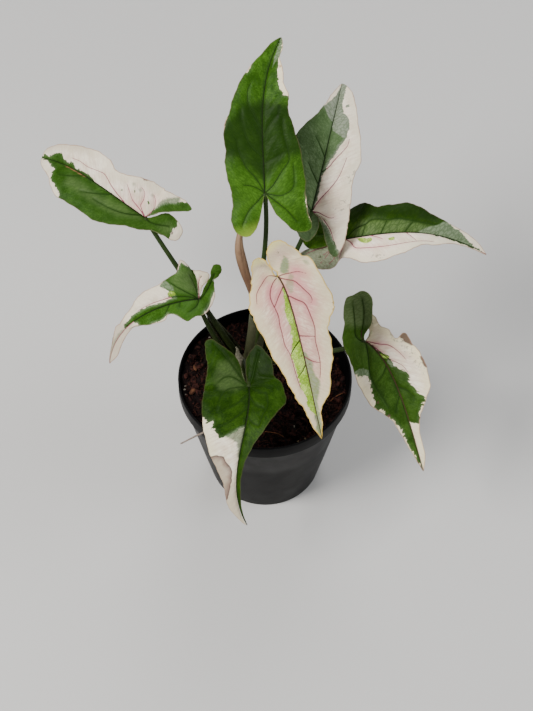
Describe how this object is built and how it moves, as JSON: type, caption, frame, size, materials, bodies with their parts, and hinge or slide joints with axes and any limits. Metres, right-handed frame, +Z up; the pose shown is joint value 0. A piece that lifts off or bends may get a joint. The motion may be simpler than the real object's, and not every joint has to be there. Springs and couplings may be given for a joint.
{
  "type": "potted white princess syngonium",
  "caption": "Potted foliage plant: arrow-shaped leaves marbled green, cream and white on arching stalks, in a round tapered black nursery pot filled with potting mix.",
  "frame": {"origin": "middle of the pot's flat base, on the surface that it stands on", "axes": "+Z up along the pot's axis, -Y to the plant's front, +X to its right as seen from the front"},
  "size_m": [0.2275, 0.1725, 0.2327],
  "materials": {
    "pot": "satin",
    "potting_mix": "rough, damp fibre and bark",
    "petiole": "satin",
    "blade_green": "satin",
    "blade_marbled": "satin",
    "blade_white": "satin",
    "new_leaf": "satin",
    "dry_tissue": "matt and papery"
  },
  "bodies": {
    "root": {"pot": "pot", "potting_mix": "potting_mix", "stem": "petiole", "leaf_1_blade": "blade_green", "leaf_2_blade": "blade_marbled", "leaf_3_blade": "blade_marbled", "leaf_4_blade": "blade_white", "leaf_5_blade": "blade_marbled", "leaf_6_blade": "blade_marbled", "leaf_7_blade": "blade_marbled", "leaf_8_blade": "blade_green", "leaf_1_petiole": "petiole", "leaf_2_petiole": "petiole", "leaf_3_petiole": "petiole", "leaf_4_petiole": "petiole", "leaf_5_petiole": "petiole", "leaf_6_petiole": "petiole", "leaf_7_petiole": "petiole", "leaf_8_petiole": "petiole", "new_leaf": "new_leaf", "dry_sheath": "dry_tissue", "dry_root": "dry_tissue"}
  },
  "joints": []
}
